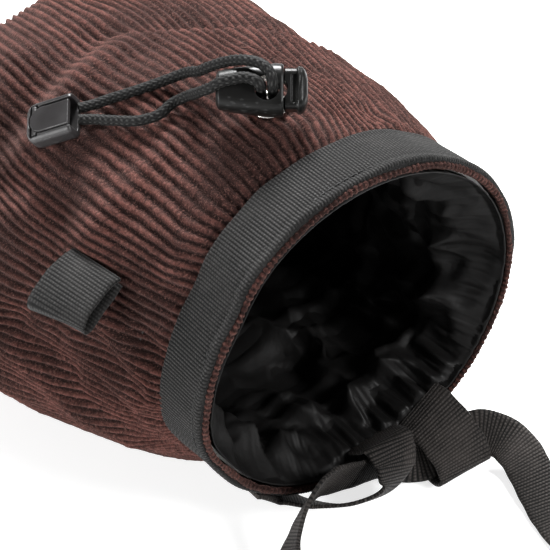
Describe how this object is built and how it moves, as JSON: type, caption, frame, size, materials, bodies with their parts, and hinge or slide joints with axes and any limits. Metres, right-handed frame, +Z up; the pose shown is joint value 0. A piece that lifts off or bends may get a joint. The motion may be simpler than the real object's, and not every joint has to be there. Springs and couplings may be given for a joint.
{
  "type": "drawstring treat pouch",
  "caption": "Cylindrical corduroy drawstring pouch with a stiffened webbing rim, nylon liner, spring cord lock, side loop and a waist belt through loops on its back.",
  "frame": {"origin": "on the flattened back of the body, where the pouch rests, under the middle of the body", "axes": "+Z up from the resting back, +Y from the mouth towards the closed base, +X to the right seen from the mouth"},
  "size_m": [0.1673, 0.3363, 0.152],
  "materials": {
    "corduroy": "brown wide-wale corduroy",
    "webbing": "charcoal ribbed rim webbing",
    "ribbed_webbing": "charcoal cross-ribbed belt webbing",
    "tape": "black woven tape",
    "nylon": "thin black coated nylon",
    "cord": "round braided cord",
    "black_plastic": "fine satin moulding",
    "grey_plastic": "dark grey satin moulding",
    "hoop_plastic": "plain strip",
    "nickel": "bright nickel plating",
    "spring_steel": "drawn wire"
  },
  "bodies": {
    "pouch": {"rim_webbing": "webbing", "rim_hoop": "hoop_plastic", "mouth_binding": "corduroy", "shell_wall": "corduroy", "shell_base": "corduroy", "liner_wall": "nylon", "liner_base": "nylon", "cord_channel": "tape", "drawcord": "cord", "eyelet_flange": "nickel", "eyelet_washer": "nickel", "lock_body": "black_plastic", "lock_spring": "spring_steel", "cord_strand_upper": "cord", "cord_strand_lower": "cord", "cord_end_base": "grey_plastic", "cord_knot": "cord", "side_loop": "webbing", "belt_loop_right": "ribbed_webbing", "belt_loop_left": "ribbed_webbing", "belt_middle": "ribbed_webbing", "belt_left": "ribbed_webbing", "belt_right": "ribbed_webbing", "belt_coil_left": "ribbed_webbing", "belt_coil_right": "ribbed_webbing", "belt_hem_left": "ribbed_webbing", "belt_hem_right": "ribbed_webbing", "buckle_female": "black_plastic", "buckle_male": "black_plastic"},
    "lock_plunger": {"lock_plunger": "black_plastic"},
    "cord_end_cover": {"cord_end_cover": "grey_plastic"},
    "buckle_prong_lower": {"buckle_prong_lower": "black_plastic"},
    "buckle_prong_upper": {"buckle_prong_upper": "black_plastic"}
  },
  "joints": [
    {"name": "lock_plunger_slide", "type": "slide", "parent": "pouch", "child": "lock_plunger", "axis": [-0.7892, 0.6141, 0], "range_m": [0, 0.0024], "stiffness_N_per_m": 600, "springref_m": -0.002, "deforming": ["lock_spring"]},
    {"name": "cord_end_cover_hinge", "type": "hinge", "parent": "pouch", "child": "cord_end_cover", "pos_m": [-0.05713, 0.01286, 0.1203], "axis": [-0.5315, -0.7321, -0.4261], "range_deg": [0, 100]},
    {"name": "buckle_prong_lower_flex", "type": "hinge", "parent": "pouch", "child": "buckle_prong_lower", "pos_m": [0.0198, -0.2154, 0.0072], "axis": [1, 0, 0], "range_deg": [0, 10], "stiffness_Nm_per_rad": 0.05, "springref_deg": -1.15},
    {"name": "buckle_prong_upper_flex", "type": "hinge", "parent": "pouch", "child": "buckle_prong_upper", "pos_m": [0.0198, -0.2154, 0.0156], "axis": [-1, 0, 0], "range_deg": [0, 10], "stiffness_Nm_per_rad": 0.05, "springref_deg": -1.15}
  ]
}
